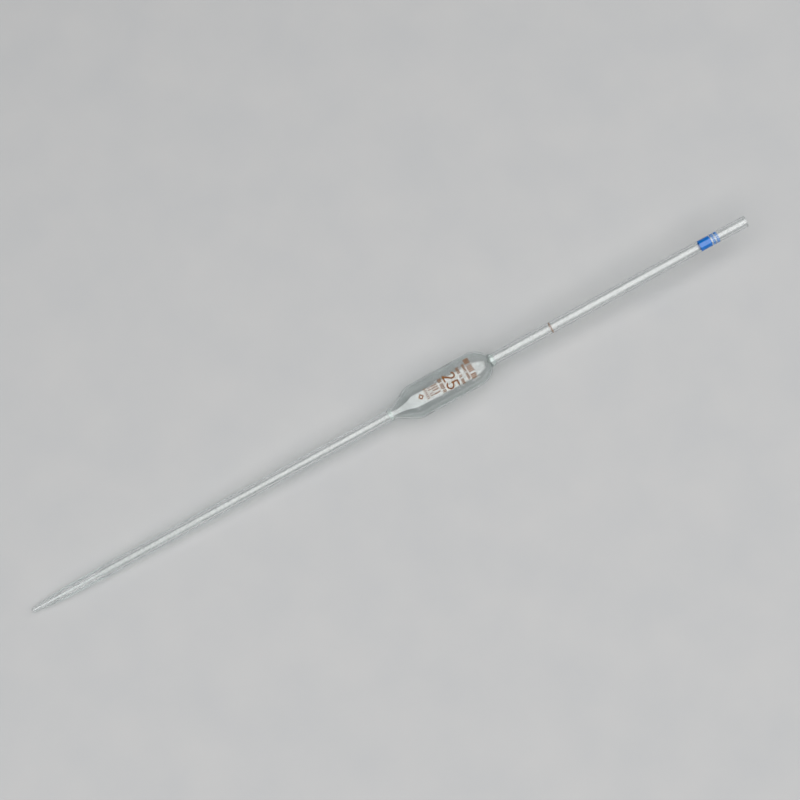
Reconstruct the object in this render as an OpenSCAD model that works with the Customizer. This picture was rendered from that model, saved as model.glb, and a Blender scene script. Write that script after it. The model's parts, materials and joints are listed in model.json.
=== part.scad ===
// One-mark volumetric pipette, 25 mL, lying at rest on a table.
//
// Every glass piece is turned about one axis. Along it, s is the distance in millimetres
// from the tip of the jet, and an outline is a list of [radius, s]. rest() then lays the
// finished pipette down: the bulb and the jet touch the table at z = 0, with the jet
// towards -X, the suction end towards +X and the marks facing up.

/* [Capacity] */
// Volume delivered from the ring mark, in millilitres
capacity_ml = 25; // [24.5:0.1:26]

/* [Jet] */
// Length of the thick-walled jet, from its tip to where it meets the delivery tube
jet_len = 52.5; // [45:0.5:60]
// Outer diameter of the jet at its tip
jet_tip_od = 2.6; // [2.2:0.1:3.2]
// Orifice diameter at the tip
jet_orifice = 1.1; // [0.8:0.05:1.4]
// Bore of the thick-walled length
jet_bore = 2.4; // [2:0.1:3]
// Half angle of the outer taper, in degrees
jet_taper = 5.4; // [5:0.1:7]
// Radius that blends the taper into the straight tube
jet_blend = 60; // [40:5:80]

/* [Delivery tube] */
// Outer diameter of the delivery tube and of the straight length of the jet
delivery_od = 7.2; // [6.8:0.1:7.4]
// Bore of the delivery tube
delivery_bore = 4.45; // [4.25:0.05:4.65]
// Length of the delivery tube
delivery_len = 205.5; // [190:0.1:220]

/* [Bulb] */
// Outer diameter of the bulb
bulb_od = 23; // [22:0.1:24]
// Wall of the bulb
bulb_wall = 0.9; // [0.8:0.05:1.1]
// Length of the bulb's straight middle
bulb_straight = 41.65; // [38:0.05:46]
// Half angle of the conical lower shoulder, in degrees
cone_angle = 30; // [26:1:34]
// Radius between the lower shoulder and the straight middle
cone_round = 10; // [8:1:12]
// Radius between the lower weld and the lower shoulder
cone_fillet = 6; // [5:1:7]
// Radius of the domed upper shoulder
dome_round = 14; // [12:1:15]

/* [Welds] */
// Length of the fused collar below the bulb
lower_weld_len = 2.2; // [1.6:0.2:3]
// Outer radius where the lower collar meets the bulb
lower_neck = 3.9; // [3.8:0.1:4.2]
// Length of the fused collar above the bulb
upper_weld_len = 2.7; // [2:0.1:3.4]
// Outer radius where the upper collar meets the bulb
upper_neck = 4.2; // [4:0.1:4.6]
// How far each collar stands out
weld_bead = 0.3; // [0.1:0.05:0.5]

/* [Suction tube] */
// Outer diameter of the suction tube
suction_od = 7.4; // [7.2:0.1:7.6]
// Bore of the suction tube
suction_bore = 5.2; // [4.8:0.1:5.6]
// Overall length of the pipette
total_len = 520; // [505:1:535]

/* [Fired marks] */
// Thickness of the enamel
enamel = 0.06; // [0.04:0.01:0.1]
// Width of the ring mark
ring_w = 0.6; // [0.4:0.1:0.8]
// Distance from the suction end to the top of the colour band
band_from_end = 26.5; // [24:0.5:30]
// Width of the colour band
band_w = 8; // [7:0.5:9]
// Height of the numerals
numeral_h = 8.3; // [7:0.1:9]
// Stroke of the numerals
numeral_stroke = 0.95; // [0.8:0.05:1.1]
// Width of a bar in the rows of small print
bar_w = 0.55; // [0.3:0.05:0.6]
// How far the marks' middle is turned from the top of the bulb, in degrees
print_turn = 3; // [-20:1:20]

/* [Hidden] */

$fn = 96;

glass_tint = "#d9e8e4";
weld_tint = "#a9cfc2";
amber = "#9a5212";
band_blue = "#0a6fd0";

numeral_w = numeral_h * 0.54;
numeral_gap = 1.2;

// places along the axis
delivery_s = jet_len;
lower_weld_s = delivery_s + delivery_len;
bulb_s = lower_weld_s + lower_weld_len;

// lower shoulder: fillet, cone, round
bulb_r = bulb_od / 2;
fillet_rise = cone_fillet * (1 - cos(cone_angle));
round_drop = cone_round * (1 - cos(cone_angle));
cone_rise = bulb_r - round_drop - lower_neck - fillet_rise;
straight_s = bulb_s + (cone_fillet + cone_round) * sin(cone_angle)
    + cone_rise / tan(cone_angle);

// upper shoulder: one arc of dome_angle degrees about a point inside the bulb
dome_s = straight_s + bulb_straight;
dome_centre = bulb_r - dome_round;
dome_angle = acos((upper_neck - dome_centre) / dome_round);
upper_weld_s = dome_s + dome_round * sin(dome_angle);
suction_s = upper_weld_s + upper_weld_len;

delivery_r = delivery_od / 2;
suction_r = suction_od / 2;
tip_r = jet_tip_od / 2;
end_round = (suction_od - suction_bore) / 4;
tip_round = 0.3;
jet_flare_len = 8;
weld_steps = 8;
weld_flare = 0.15;
weld_flare_len = 1;

// foot of each mark, and its height where a row has one size of bar
band_s = total_len - band_from_end - band_w;
band_print_s = band_s + band_w + 0.8;
band_row_h = 2;
band_row_pitch = 2.7;
maker_s = dome_s - 3.8;
maker_h = 3.6;
maker_small_s = dome_s - 6.3;
maker_small_h = 1.7;
upper_small_s = dome_s - 10.8;
upper_small_h = 2.1;
numerals_s = dome_s - 20.7;
lower_small_s = dome_s - 24.3;
lower_small_h = 2.5;
unit_s = dome_s - 29.8;
unit_h = 4.2;
approval_s = dome_s - 35.1;
approval_h = 2;
approval_pitch = 2.7;
class_s = dome_s - 40.2;
class_h = 3.9;

// an arc as [radius, s] points about a centre, from one angle to another
function arc(centre, r, from, to, steps) =
    [for (i = [0:steps]) centre + r * [cos(from + (to - from) * i / steps),
        sin(from + (to - from) * i / steps)]];

function reversed(path) = [for (i = [len(path) - 1:-1:0]) path[i]];

// a smooth change of radius over a collar, with an optional bead in its middle
function collar(r0, s0, r1, s1, bead) =
    [for (i = [0:weld_steps]) let (u = i / weld_steps)
        [r0 + (r1 - r0) * u * u * (3 - 2 * u) + bead * (1 - cos(360 * u)) / 2,
            s0 + (s1 - s0) * u]];

// volume inside an outline turned about the axis, in cubic millimetres
function slice_volume(a, b) =
    PI * (b[1] - a[1]) * (a[0] * a[0] + a[0] * b[0] + b[0] * b[0]) / 3;

function bore_volume(path, i = 0) =
    i + 1 >= len(path) ? 0 : slice_volume(path[i], path[i + 1]) + bore_volume(path, i + 1);

// outer outline of the bulb, or its inner outline when wall is the glass's thickness
function lower_shoulder(wall) = concat(
    arc([lower_neck + cone_fillet, bulb_s], cone_fillet + wall, 180, 180 - cone_angle, 4),
    arc([bulb_r - cone_round, straight_s], cone_round - wall, -cone_angle, 0, 6));

function upper_shoulder(wall) =
    arc([dome_centre, dome_s], dome_round - wall, 0, dome_angle, 14);

function bulb_side(wall) = concat(lower_shoulder(wall), upper_shoulder(wall));

bulb_inner = bulb_side(bulb_wall);
bulb_outer = bulb_side(0);
bulb_mouth = bulb_inner[0];
bulb_throat = bulb_inner[len(bulb_inner) - 1];

taper_end_r = delivery_r - jet_blend * (1 - cos(jet_taper));
taper_end_s = (taper_end_r - tip_r) / tan(jet_taper);
jet_straight_s = taper_end_s + jet_blend * sin(jet_taper);

jet_inner = concat(
    [[jet_orifice / 2, 0], [jet_bore / 2, taper_end_s]],
    collar(jet_bore / 2, jet_len - jet_flare_len, delivery_bore / 2, jet_len, 0));
jet_outer = concat(
    arc([tip_r - tip_round, tip_round], tip_round, -90, -jet_taper, 4),
    arc([delivery_r - jet_blend, jet_straight_s], jet_blend, -jet_taper, 0, 5),
    [[delivery_r, jet_len]]);

lower_weld_inner = collar(delivery_bore / 2, lower_weld_s, bulb_mouth[0], bulb_mouth[1], 0);
lower_weld_outer = collar(delivery_r, lower_weld_s, lower_neck, bulb_s, weld_bead);
// the suction tube's bore is slightly flared where it was worked onto the collar
suction_flare = [[suction_bore / 2 + weld_flare, suction_s],
    [suction_bore / 2, suction_s + weld_flare_len]];
upper_weld_inner = collar(bulb_throat[0], bulb_throat[1], suction_flare[0][0], suction_s, 0);
upper_weld_outer = collar(upper_neck, upper_weld_s, suction_r, suction_s, weld_bead);

// the ring mark stands where the bore below it holds exactly the capacity
volume_below = bore_volume(jet_inner)
    + PI * pow(delivery_bore / 2, 2) * delivery_len
    + bore_volume(lower_weld_inner) + bore_volume(bulb_inner)
    + bore_volume(upper_weld_inner) + bore_volume(suction_flare);
ring_s = suction_s + weld_flare_len
    + (capacity_ml * 1000 - volume_below) / (PI * pow(suction_bore / 2, 2));

// at rest the end of the jet's taper and the start of the bulb's straight middle
// touch the table
contact_run = straight_s - jet_straight_s;
contact_rise = bulb_r - cone_round - (delivery_r - jet_blend);
lie_angle = atan2(contact_rise, contact_run)
    - asin((jet_blend - cone_round) / norm([contact_rise, contact_run]));
axis_lift = (delivery_r - jet_blend) * cos(lie_angle) - jet_straight_s * sin(lie_angle)
    + jet_blend;
half_run = (total_len * cos(lie_angle) + (suction_r - tip_r) * sin(lie_angle)) / 2;

module rest() {
    translate([-half_run, 0, axis_lift])
        rotate([0, 90 - lie_angle, 0])
            children();
}

// lays down a mark drawn with its middle on the axis's -X side
module printed() {
    rest() rotate([0, 0, print_turn]) children();
}

module turned(inner, outer) {
    rotate_extrude() polygon(concat(inner, reversed(outer)));
}

// part of a ring of enamel on a tube, between two angles about its axis
module enamel_arc(inner_r, s0, width, from, to) {
    rotate([0, 0, from])
        rotate_extrude(angle = to - from)
            translate([inner_r, s0]) square([enamel, width]);
}

module enamel_ring(inner_r, s0, width) {
    rotate_extrude() translate([inner_r, s0]) square([enamel, width]);
}

// angle about the axis of a place u millimetres to the right of the marks' middle
function side(u, r) = 180 + u / r * 180 / PI;

function sum_to(list, n) = n <= 0 ? 0 : list[n - 1] + sum_to(list, n - 1);

// a row of upright bars on the bulb, in groups, centred shift millimetres to the right
module bar_row(s0, height, groups, pitch, gap, width = bar_w, shift = 0) {
    bars = sum_to(groups, len(groups));
    start = shift - ((bars - 1) * pitch + (len(groups) - 1) * gap) / 2;
    for (g = [0:len(groups) - 1])
        for (i = [0:groups[g] - 1]) {
            u = start + (sum_to(groups, g) + i) * pitch + g * gap;
            enamel_arc(bulb_r, s0, height, side(u - width / 2, bulb_r),
                side(u + width / 2, bulb_r));
        }
}

// keeps the part of a flat stroke that lies in a thin skin on the bulb
module on_bulb(s0) {
    intersection() {
        translate([0, 0, s0 - 1]) enamel_skin(numeral_h + 2);
        translate([0, 0, s0]) rotate([90, 0, -90]) children();
    }
}

module enamel_skin(height) {
    difference() {
        cylinder(r = bulb_r + enamel, h = height);
        translate([0, 0, -1]) cylinder(r = bulb_r, h = height + 2);
    }
}

// outlines of the two numerals, from their left edge and from their foot up
function outline_two(left) =
    let (t = numeral_stroke, r = numeral_w / 2, c = [left + r, numeral_h - r])
        concat(arc(c, r, 170, -32, 14),
            [[left + t * 1.5, t], [left + numeral_w, t], [left + numeral_w, 0],
                [left, 0], [left, t * 0.9]],
            arc(c, r - t, -32, 170, 14));

function outline_five(left) =
    let (t = numeral_stroke, r = numeral_h * 0.315, c = [left + numeral_w - r, r])
        concat([[left + t * 0.5, numeral_h], [left + numeral_w, numeral_h],
                [left + numeral_w, numeral_h - t], [left + t * 1.4, numeral_h - t]],
            arc(c, r, 102, -155, 18),
            arc(c, r - t, -155, 140, 18),
            [[left + t * 0.25, r * 1.45]]);

module jet_tip() {
    color(glass_tint) rest() turned(jet_inner, jet_outer);
}

module delivery_tube() {
    color(glass_tint) rest()
        translate([0, 0, delivery_s])
            rotate_extrude()
                translate([delivery_bore / 2, 0])
                    square([delivery_r - delivery_bore / 2, delivery_len]);
}

module lower_weld() {
    color(weld_tint) rest() turned(lower_weld_inner, lower_weld_outer);
}

module bulb() {
    color(glass_tint) rest() turned(bulb_inner, bulb_outer);
}

module upper_weld() {
    color(weld_tint) rest() turned(upper_weld_inner, upper_weld_outer);
}

// the enamel on the suction tube lies flush in the glass
module suction_tube() {
    end = [suction_bore / 2 + end_round, total_len - end_round];
    color(glass_tint) rest()
        difference() {
            rotate_extrude()
                polygon(concat([suction_flare[0], [suction_r, suction_s]],
                    arc(end, end_round, 0, 180, 10), [suction_flare[1]]));
            ring_recess(ring_s - ring_w / 2, ring_w);
            ring_recess(band_s, band_w);
            band_print_marks(suction_r - enamel, 2);
        }
}

module ring_recess(s0, width) {
    translate([0, 0, s0])
        difference() {
            cylinder(r = suction_r + 1, h = width);
            translate([0, 0, -1]) cylinder(r = suction_r - enamel, h = width + 2);
        }
}

module ring_mark() {
    color(amber) rest() enamel_ring(suction_r - enamel, ring_s - ring_w / 2, ring_w);
}

module colour_band() {
    color(band_blue) rest() enamel_ring(suction_r - enamel, band_s, band_w);
}

// two rows of short bars round the front of the tube; reach deepens them outwards
module band_print_marks(inner_r, reach = 1) {
    for (row = [0, 1], i = [-4:4])
        rotate([0, 0, 180 + (i + row / 2) * 22 - 8])
            rotate_extrude(angle = 14)
                translate([inner_r, band_print_s + row * band_row_pitch])
                    square([enamel * reach, band_row_h]);
}

module band_print() {
    color(band_blue) rest() band_print_marks(suction_r - enamel);
}

module capacity_numerals() {
    color(amber) printed() on_bulb(numerals_s)
        linear_extrude(bulb_od) {
            polygon(outline_two(-numeral_w - numeral_gap / 2));
            polygon(outline_five(numeral_gap / 2));
        }
}

module unit_print() {
    color(amber) printed() bar_row(unit_s, unit_h, [3, 1], 1.5, 0.9, bar_w * 1.3);
}

module upper_small_print() {
    color(amber) printed() bar_row(upper_small_s, upper_small_h, [5, 2, 4], 0.95, 0.8);
}

module lower_small_print() {
    color(amber) printed() bar_row(lower_small_s, lower_small_h, [3, 4, 2], 0.95, 0.7);
}

module approval_print() {
    color(amber) printed() {
        bar_row(approval_s, approval_h, [6], 1.3, 0);
        bar_row(approval_s + approval_pitch, approval_h, [2, 2], 1.3, 1.2);
    }
}

module diamond(half) {
    polygon([[-half, 0], [0, -half], [half, 0], [0, half]]);
}

module class_print() {
    half = class_h / 2;
    color(amber) printed() on_bulb(class_s)
        translate([0, half, 0])
            difference() {
                linear_extrude(bulb_od) diamond(half);
                translate([0, 0, -1]) linear_extrude(bulb_od + 2) diamond(half * 0.45);
            }
}

module maker_print() {
    color(amber) printed() {
        bar_row(maker_s, maker_h, [4, 4, 3], 1.15, 1.2, bar_w * 1.3, -1.6);
        bar_row(maker_small_s, maker_small_h, [6, 5], 0.9, 1, bar_w, -0.6);
    }
}

jet_tip();
delivery_tube();
lower_weld();
bulb();
upper_weld();
suction_tube();
ring_mark();
colour_band();
band_print();
capacity_numerals();
unit_print();
upper_small_print();
lower_small_print();
approval_print();
class_print();
maker_print();
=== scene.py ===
import json
import math

import bmesh
import bpy
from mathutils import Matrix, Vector, noise


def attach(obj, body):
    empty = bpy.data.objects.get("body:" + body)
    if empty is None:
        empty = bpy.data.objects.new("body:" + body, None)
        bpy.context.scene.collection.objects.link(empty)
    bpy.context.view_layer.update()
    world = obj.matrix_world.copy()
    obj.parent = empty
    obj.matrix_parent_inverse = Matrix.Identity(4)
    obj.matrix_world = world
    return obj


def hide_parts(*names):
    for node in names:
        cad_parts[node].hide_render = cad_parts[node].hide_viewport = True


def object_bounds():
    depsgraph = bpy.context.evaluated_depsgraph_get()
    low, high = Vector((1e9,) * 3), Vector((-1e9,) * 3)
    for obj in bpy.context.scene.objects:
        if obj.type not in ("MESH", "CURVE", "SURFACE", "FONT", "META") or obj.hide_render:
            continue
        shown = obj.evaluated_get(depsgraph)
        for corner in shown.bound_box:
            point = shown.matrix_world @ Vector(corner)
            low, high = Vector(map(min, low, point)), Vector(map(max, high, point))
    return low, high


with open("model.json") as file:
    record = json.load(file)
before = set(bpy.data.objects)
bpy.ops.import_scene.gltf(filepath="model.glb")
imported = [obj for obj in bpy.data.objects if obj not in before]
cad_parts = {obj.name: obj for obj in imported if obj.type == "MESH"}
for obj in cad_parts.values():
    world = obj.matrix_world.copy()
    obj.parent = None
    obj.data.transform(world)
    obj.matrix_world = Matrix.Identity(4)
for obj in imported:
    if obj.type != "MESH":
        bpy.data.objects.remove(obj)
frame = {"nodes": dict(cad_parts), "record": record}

# The looks of a 25 mL one-mark volumetric pipette, lying on a pale table.
#
# Every glass piece is turned about the pipette's own axis. A place on it is given by s, the
# distance in metres from the tip of the jet, by its radius, and by its angle about the
# axis: 0 faces up, and a quarter turn on faces the near side of the table.

MM = 0.001
CAD_LOW, CAD_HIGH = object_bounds()

# ---------------------------------------------------------------- the pipette's own frame

MOUNTS = {m["name"]: m for m in frame["record"]["mounts"]}
AXIS = Vector(MOUNTS["filler_end"]["axis"]).normalized()
AXIS_POINT = Vector(MOUNTS["filler_end"]["pos_m"])
NEAR = Vector((0, -1, 0))
UP = NEAR.cross(AXIS).normalized()


def distance_along(point):
    return (point - AXIS_POINT).dot(AXIS)


TIP = AXIS_POINT + AXIS * min(
    distance_along(v.co) for v in frame["nodes"]["jet_tip"].data.vertices)


def place(s, r, angle):
    """The point at distance s along the axis, r from it, turned by angle from the top."""
    return TIP + AXIS * s + r * (math.cos(angle) * UP + math.sin(angle) * NEAR)


def measure(point):
    """(s, r, angle) of a point, the other way round from place()."""
    s = (point - TIP).dot(AXIS)
    across = point - TIP - AXIS * s
    return s, across.length, math.atan2(across.dot(NEAR), across.dot(UP))


# ---------------------------------------------------------------- outlines from the CAD

SAME = 0.02 * MM        # outline points closer than this along the axis are one point
END_FACE_LEAN = 0.05    # a face that leans out less than this closes the end of a tube


def merged(points, pick):
    """Points sorted along the axis, with those at one place reduced to one radius."""
    kept = []
    for s, r in sorted(points):
        if kept and s - kept[-1][0] < SAME:
            kept[-1] = (kept[-1][0], pick(kept[-1][1], r))
        else:
            kept.append((s, r))
    return [Vector(p) for p in kept]


def outlines(node):
    """The outer and the inner outline of a turned CAD node, as (s, r) from the jet on."""
    mesh = frame["nodes"][node].data
    outer, inner = set(), set()
    for face in mesh.polygons:
        s, r, angle = measure(face.center)
        lean = face.normal.dot(place(0, 1, angle) - TIP)
        if abs(lean) > END_FACE_LEAN:
            side = outer if lean > 0 else inner
            side.update(measure(mesh.vertices[i].co)[:2] for i in face.vertices)
    return merged(outer, max), merged(inner, min)


def split_long(points, longest):
    out = [points[0]]
    for a, b in zip(points, points[1:]):
        parts = max(1, math.ceil((b - a).length / longest))
        out += [a.lerp(b, i / parts) for i in range(1, parts + 1)]
    return out


def rounded(points):
    """One more point between each two, on the smooth curve through their neighbours."""
    near_weight, far_weight = 0.5625, 0.0625
    out = []
    for i in range(len(points) - 1):
        before = points[max(i - 1, 0)]
        after = points[min(i + 2, len(points) - 1)]
        middle = (points[i] + points[i + 1]) * near_weight - (before + after) * far_weight
        out += [points[i], middle]
    return out + [points[-1]]


# ---------------------------------------------------------------- hand-worked glass

SEGMENTS = 96           # sides round each turned piece
SHARP_ANGLE = math.radians(50)


class Wave:
    """Slow unevenness of blown or drawn glass, which dies out towards both ends."""

    def __init__(self, height, length, radius, s0, s1, fade, seed):
        self.height = height
        self.length = length
        self.radius = radius
        self.s0 = s0
        self.s1 = s1
        self.fade = fade
        self.seed = seed

    def at(self, s, angle):
        edge = min(s - self.s0, self.s1 - s) / self.fade
        share = min(max(edge, 0), 1)
        share = share * share * (3 - 2 * share)
        round_it = self.radius / self.length
        where = Vector((math.cos(angle) * round_it, math.sin(angle) * round_it,
                        s / self.length + self.seed))
        return self.height * share * noise.noise(where)


def fade_of(outline):
    return (outline[-1][0] - outline[0][0]) / 5


def turned_piece(name, outer, inner, waves, fused_start, fused_end, materials):
    """A closed ring of glass between two outlines. A fused end gets the seam material."""
    outer_wave, inner_wave = waves
    mesh = bmesh.new()

    def ring(point, wave):
        s, r = point
        turns = [2 * math.pi * i / SEGMENTS for i in range(SEGMENTS)]
        return [mesh.verts.new(place(s, r + wave.at(s, t), t)) for t in turns]

    def skin(one, two, slot):
        for i in range(SEGMENTS):
            j = (i + 1) % SEGMENTS
            face = mesh.faces.new((one[i], one[j], two[j], two[i]))
            face.material_index = slot
            face.smooth = True

    closed_end = (outer[-1] - inner[-1]).length < SAME
    outer_rings = [ring(p, outer_wave) for p in outer]
    inner_rings = [ring(p, inner_wave) for p in (inner[:-1] if closed_end else inner)]
    if closed_end:
        inner_rings.append(outer_rings[-1])
    for rings in (outer_rings, inner_rings):
        for one, two in zip(rings, rings[1:]):
            skin(one, two, 0)
    skin(outer_rings[0], inner_rings[0], 1 if fused_start else 0)
    if not closed_end:
        skin(outer_rings[-1], inner_rings[-1], 1 if fused_end else 0)
    bmesh.ops.recalc_face_normals(mesh, faces=mesh.faces)
    return finished(name, mesh, materials)


def finished(name, mesh, materials):
    """Turns a bmesh into an object of the scene, with crisp corners kept crisp."""
    data = bpy.data.meshes.new(name)
    mesh.to_mesh(data)
    mesh.free()
    for material in materials:
        data.materials.append(material)
    data.set_sharp_from_angle(angle=SHARP_ANGLE)
    piece = bpy.data.objects.new(name, data)
    bpy.context.scene.collection.objects.link(piece)
    return piece


def stands_for(piece, node):
    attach(piece, "root")
    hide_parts(node)
    return piece


# ---------------------------------------------------------------- materials

def new_material(name):
    material = bpy.data.materials.new(name)
    material.use_nodes = True
    tree = material.node_tree
    tree.nodes.clear()
    output = tree.nodes.new("ShaderNodeOutputMaterial")
    return material, tree, output


def noise_of(tree, scale, detail):
    """A noise texture in the piece's own coordinates, in metres."""
    coordinates = tree.nodes.new("ShaderNodeTexCoord")
    texture = tree.nodes.new("ShaderNodeTexNoise")
    texture.inputs["Scale"].default_value = scale
    texture.inputs["Detail"].default_value = detail
    tree.links.new(coordinates.outputs["Object"], texture.inputs["Vector"])
    return texture.outputs["Fac"]


def spread(tree, value, low, high, source=(0.3, 0.7)):
    """Maps a value onto a new range."""
    node = tree.nodes.new("ShaderNodeMapRange")
    node.inputs["From Min"].default_value = source[0]
    node.inputs["From Max"].default_value = source[1]
    node.inputs["To Min"].default_value = low
    node.inputs["To Max"].default_value = high
    tree.links.new(value, node.inputs["Value"])
    return node.outputs["Result"]


def blend_of(tree, factor, low, high, start=0):
    """A colour between two, by a factor that starts to count at start and ends at 1."""
    ramp = tree.nodes.new("ShaderNodeValToRGB")
    ramp.color_ramp.elements[0].position = start
    ramp.color_ramp.elements[0].color = (*low, 1)
    ramp.color_ramp.elements[1].color = (*high, 1)
    tree.links.new(factor, ramp.inputs["Fac"])
    return ramp.outputs["Color"]


def facing(tree, blend):
    node = tree.nodes.new("ShaderNodeLayerWeight")
    node.inputs["Blend"].default_value = blend
    return node.outputs["Facing"]


def bumped(tree, height, strength, distance, target):
    bump = tree.nodes.new("ShaderNodeBump")
    bump.inputs["Strength"].default_value = strength
    bump.inputs["Distance"].default_value = distance
    tree.links.new(height, bump.inputs["Height"])
    tree.links.new(bump.outputs["Normal"], target.inputs["Normal"])


GLASS_IOR = 1.52
TINT_BLEND = 0.5        # how soon the tint of glass comes in towards its edges
TINT_START = 0.15
SHADOW_BLEND = 0.4      # the same for its shadow
SHADOW_MIDDLE = (0.93, 0.95, 0.95)
SMEAR_SCALE = 60        # noise scales, in repeats to a metre
DENSITY_SCALE = 900
GLOSS_SCALE = 2500


def glass(name, middle, edge, roughness, body_share, shade):
    """Glass that is greener where it is seen edge on, and casts a pale shadow."""
    material, tree, output = new_material(name)
    body = tree.nodes.new("ShaderNodeBsdfPrincipled")
    body.inputs["Transmission Weight"].default_value = 1 - body_share
    body.inputs["IOR"].default_value = GLASS_IOR
    tint = blend_of(tree, facing(tree, TINT_BLEND), middle, edge, start=TINT_START)
    tree.links.new(tint, body.inputs["Base Color"])
    smears = noise_of(tree, SMEAR_SCALE, 3)
    tree.links.new(spread(tree, smears, 0, roughness), body.inputs["Roughness"])
    lit = tree.nodes.new("ShaderNodeBsdfTransparent")
    cast = blend_of(tree, facing(tree, SHADOW_BLEND), SHADOW_MIDDLE, shade)
    tree.links.new(cast, lit.inputs["Color"])
    path = tree.nodes.new("ShaderNodeLightPath")
    choice = tree.nodes.new("ShaderNodeMixShader")
    tree.links.new(path.outputs["Is Shadow Ray"], choice.inputs["Fac"])
    tree.links.new(body.outputs["BSDF"], choice.inputs[1])
    tree.links.new(lit.outputs["BSDF"], choice.inputs[2])
    tree.links.new(choice.outputs["Shader"], output.inputs["Surface"])
    return material


def fused_seam():
    """The hidden face where two pieces of glass have melted into one: nothing to see."""
    material, tree, output = new_material("fused_seam")
    clear = tree.nodes.new("ShaderNodeBsdfTransparent")
    tree.links.new(clear.outputs["BSDF"], output.inputs["Surface"])
    return material


def enamel(name, thin, thick, roughness, ior, coat):
    """Fired enamel: its colour is denser where the print went on thicker."""
    material, tree, output = new_material(name)
    body = tree.nodes.new("ShaderNodeBsdfPrincipled")
    density = spread(tree, noise_of(tree, DENSITY_SCALE, 4), 0, 1, (0.35, 0.65))
    tree.links.new(blend_of(tree, density, thin, thick), body.inputs["Base Color"])
    gloss = noise_of(tree, GLOSS_SCALE, 3)
    tree.links.new(spread(tree, gloss, roughness[0], roughness[1]), body.inputs["Roughness"])
    body.inputs["IOR"].default_value = ior
    body.inputs["Coat Weight"].default_value = coat
    body.inputs["Coat IOR"].default_value = ior
    body.inputs["Coat Roughness"].default_value = 0.06
    bumped(tree, gloss, 0.25, 0.01 * MM, body)
    tree.links.new(body.outputs["BSDF"], output.inputs["Surface"])
    return material


CLEAR = glass("clear_glass", (0.985, 0.995, 0.992), (0.32, 0.42, 0.40), 0.01, 0,
              (0.34, 0.41, 0.40))
WELD = glass("weld_glass", (0.87, 0.92, 0.90), (0.33, 0.44, 0.41), 0.03, 0.06,
             (0.32, 0.40, 0.38))
SEAM = fused_seam()
AMBER = enamel("amber_enamel", (0.20, 0.068, 0.003), (0.11, 0.035, 0.001), (0.4, 0.55),
               1.2, 0)
BLUE = enamel("blue_enamel", (0.001, 0.104, 0.37), (0.001, 0.086, 0.32), (0.12, 0.20),
              1.5, 0.6)
PALE_BLUE = enamel("blue_print", (0.03, 0.17, 0.45), (0.01, 0.12, 0.38), (0.2, 0.3),
                   1.55, 0.6)

# ---------------------------------------------------------------- the glass

WAVES = {}              # the wave in the outer skin of each glass node, for its marks
INNER_UNEVENNESS = 1.5  # the inner skin's wave, as a share of the outer one's
OUTER_SEED = 3.7
INNER_SEED = 11.3


def glass_piece(node, material, longest, height, length, fused_start, fused_end):
    """Blows one glass node: its CAD outlines, rounded, with a slow wave in both skins."""
    outer, inner = outlines(node)
    radius = max(p[1] for p in outer)
    fade = fade_of(outer)
    skins = ((outer, 1, OUTER_SEED), (inner, INNER_UNEVENNESS, INNER_SEED))
    waves = [Wave(height * share, length, radius, side[0][0], side[-1][0], fade, seed)
             for side, share, seed in skins]
    WAVES[node] = waves[0]
    outer, inner = (rounded(split_long(side, longest)) for side in (outer, inner))
    piece = turned_piece(f"{node}_glass", outer, inner, waves, fused_start, fused_end,
                         [material, SEAM])
    return stands_for(piece, node)


glass_piece("jet_tip", CLEAR, 1.5 * MM, 0.01 * MM, 20 * MM, False, True)
glass_piece("delivery_tube", CLEAR, 3 * MM, 0.015 * MM, 30 * MM, True, True)
glass_piece("lower_weld", WELD, 0.5 * MM, 0.04 * MM, 2 * MM, True, True)
glass_piece("bulb", CLEAR, 1.2 * MM, 0.12 * MM, 9 * MM, True, True)
glass_piece("upper_weld", WELD, 0.5 * MM, 0.06 * MM, 2 * MM, True, True)
glass_piece("suction_tube", CLEAR, 3 * MM, 0.015 * MM, 30 * MM, True, False)

# ---------------------------------------------------------------- the fired marks

SINK = 0.02 * MM        # how deep enamel lies in the glass, so that nothing shines between
RAGGED = 0.03 * MM      # unevenness of a printed edge
RAGGED_LENGTH = 0.6 * MM
PRINT_EDGE = 0.7 * MM   # edges of a print longer than this are halved, up to four times
PRINT_HALVINGS = 4
SAME_VERTEX = 0.001 * MM
TURN_SEED = Vector((0, 0, 7))
BAND_RISE = 0.5 * MM    # width of the sloping edge of a ring of enamel
RISE_STEPS = 5
FLAT_STEPS = 8


def span_of(node):
    """Where a CAD node starts and ends along the axis, and its largest radius."""
    places = [measure(v.co) for v in frame["nodes"][node].data.vertices]
    return min(p[0] for p in places), max(p[0] for p in places), max(p[1] for p in places)


def band_piece(node, glass_node, material, thickness, inset):
    """A ring of enamel round the tube, thinning to nothing at both edges."""
    s0, s1, radius = span_of(node)
    s0 += inset
    s1 -= inset
    rise = min((s1 - s0) / 3, BAND_RISE)
    flat = s1 - s0 - 2 * rise
    wave = WAVES[glass_node]
    steps = [s0 + rise * i / RISE_STEPS for i in range(RISE_STEPS)]
    steps += [s0 + rise + flat * i / FLAT_STEPS for i in range(FLAT_STEPS + 1)]
    steps += [s1 - rise * i / RISE_STEPS for i in reversed(range(RISE_STEPS))]
    outer = []
    for s in steps:
        edge = min(min(s - s0, s1 - s) / rise, 1)
        outer.append(Vector((s, radius + thickness * math.sqrt(1 - (1 - edge) ** 2))))
    inner = [Vector((s, radius - SINK)) for s in steps]
    piece = turned_piece(f"{node}_enamel", outer, inner, (wave, wave), False, False,
                         [material])
    return stands_for(piece, node)


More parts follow.
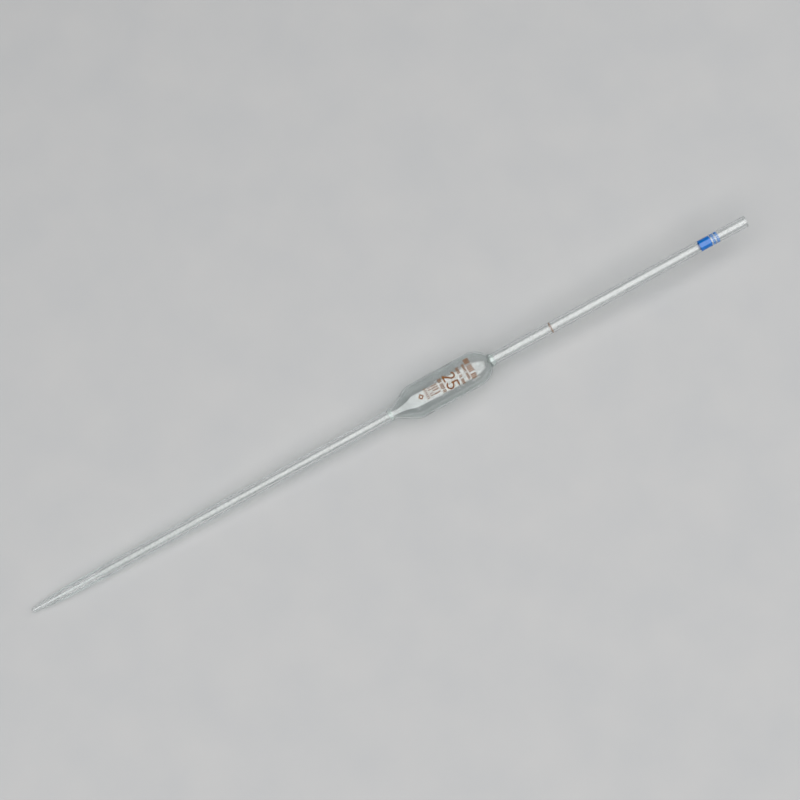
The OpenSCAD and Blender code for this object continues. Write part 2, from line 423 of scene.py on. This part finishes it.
def printed_piece(node, glass_node, material, lift):
    """A printed mark, laid on the uneven glass, with slightly ragged edges."""
    mesh = bmesh.new()
    mesh.from_mesh(frame["nodes"][node].data)
    bmesh.ops.remove_doubles(mesh, verts=mesh.verts, dist=SAME_VERTEX)
    for _ in range(PRINT_HALVINGS):
        long_edges = [e for e in mesh.edges if e.calc_length() > PRINT_EDGE]
        if long_edges:
            bmesh.ops.subdivide_edges(mesh, edges=long_edges, cuts=1)
    wave = WAVES[glass_node]
    for vertex in mesh.verts:
        s, r, angle = measure(vertex.co)
        spot = Vector((s, r * angle, 0)) / RAGGED_LENGTH
        s_shift = RAGGED * noise.noise(spot)
        turn = RAGGED * noise.noise(spot + TURN_SEED) / r
        vertex.co = place(s + s_shift, r + lift + wave.at(s, angle), angle + turn)
    bmesh.ops.triangulate(mesh, faces=mesh.faces)
    bmesh.ops.recalc_face_normals(mesh, faces=mesh.faces)
    piece = finished(f"{node}_enamel", mesh, [material])
    return stands_for(piece, node)


BULB_MARKS = ("capacity_numerals", "unit_print", "upper_small_print", "lower_small_print",
              "approval_print", "class_print", "maker_print")

band_piece("ring_mark", "suction_tube", AMBER, 0.04 * MM, 0.1 * MM)
band_piece("colour_band", "suction_tube", BLUE, 0.06 * MM, 0)
printed_piece("band_print", "suction_tube", PALE_BLUE, 0.045 * MM)
for mark in BULB_MARKS:
    printed_piece(mark, "bulb", AMBER, -SINK)

# ---------------------------------------------------------------- camera

VIEW_AZIMUTH = math.radians(-28.69)     # turns the pipette across the picture
VIEW_ELEVATION = math.radians(81)
VIEW_DISTANCE = 1.54
VIEW_LENS_MM = 108.35
SENSOR_MM = 36
VIEW_RIGHT = 0.0051                     # how far the aim lies from the pipette's middle
VIEW_UP = 0.0091


def look(azimuth, elevation):
    """The direction from the subject back to a camera at these angles."""
    return Vector((math.sin(azimuth) * math.cos(elevation),
                   -math.cos(azimuth) * math.cos(elevation), math.sin(elevation)))


RIGHT = Vector((math.cos(VIEW_AZIMUTH), math.sin(VIEW_AZIMUTH), 0))
AWAY = Vector((-math.sin(VIEW_AZIMUTH), math.cos(VIEW_AZIMUTH), 0))


def make_camera():
    data = bpy.data.cameras.new("camera")
    data.lens = VIEW_LENS_MM
    data.sensor_width = SENSOR_MM
    data.clip_start = 0.05
    data.clip_end = 50
    camera = bpy.data.objects.new("camera", data)
    bpy.context.scene.collection.objects.link(camera)
    aim = (CAD_LOW + CAD_HIGH) / 2 + RIGHT * VIEW_RIGHT + AWAY * VIEW_UP
    back = look(VIEW_AZIMUTH, VIEW_ELEVATION)
    camera.location = aim + back * VIEW_DISTANCE
    camera.rotation_mode = "QUATERNION"
    camera.rotation_quaternion = (-back).to_track_quat("-Z", "Y")
    bpy.context.scene.camera = camera


# ---------------------------------------------------------------- floor and light

FLOOR_HALF = 8
FLOOR_DARK = (0.297, 0.30, 0.303)
FLOOR_PALE = (0.312, 0.312, 0.312)
WORLD_COLOUR = (0.9, 0.95, 1, 1)
WORLD_STRENGTH = 0.02


def make_floor():
    mesh = bmesh.new()
    bmesh.ops.create_grid(mesh, x_segments=8, y_segments=8, size=FLOOR_HALF)
    material, tree, output = new_material("pale_floor")
    body = tree.nodes.new("ShaderNodeBsdfPrincipled")
    grain = spread(tree, noise_of(tree, 25, 3), 0, 1)
    tree.links.new(blend_of(tree, grain, FLOOR_DARK, FLOOR_PALE), body.inputs["Base Color"])
    body.inputs["Roughness"].default_value = 0.85
    body.inputs["Specular IOR Level"].default_value = 0.25
    tree.links.new(body.outputs["BSDF"], output.inputs["Surface"])
    finished("floor", mesh, [material])


def panel(name, location, aim, width, length, radiance):
    """A flat lamp at one point, turned to face another. Width runs along the pipette."""
    data = bpy.data.lights.new(name, "AREA")
    data.shape = "RECTANGLE"
    data.size = width
    data.size_y = length
    data.energy = radiance * math.pi * width * length
    lamp = bpy.data.objects.new(name, data)
    bpy.context.scene.collection.objects.link(lamp)
    lamp.location = location
    lamp.rotation_mode = "QUATERNION"
    lamp.rotation_quaternion = (Vector(aim) - lamp.location).to_track_quat("-Z", "Y")
    lamp.visible_camera = False


def make_light():
    world = bpy.data.worlds.new("studio")
    world.use_nodes = True
    background = world.node_tree.nodes["Background"]
    background.inputs["Color"].default_value = WORLD_COLOUR
    background.inputs["Strength"].default_value = WORLD_STRENGTH
    bpy.context.scene.world = world
    panel("canopy", (0, -0.35, 1.2), (0, -0.35, 0), 7, 2.5, 2.5)
    for x in (-0.42, 0.42):
        panel("near_side", (x, -2.15, 0.95), (x, 0, 0), 0.4, 0.3, 3.2)


make_camera()
make_floor()
make_light()
bpy.context.scene.view_settings.view_transform = "Standard"
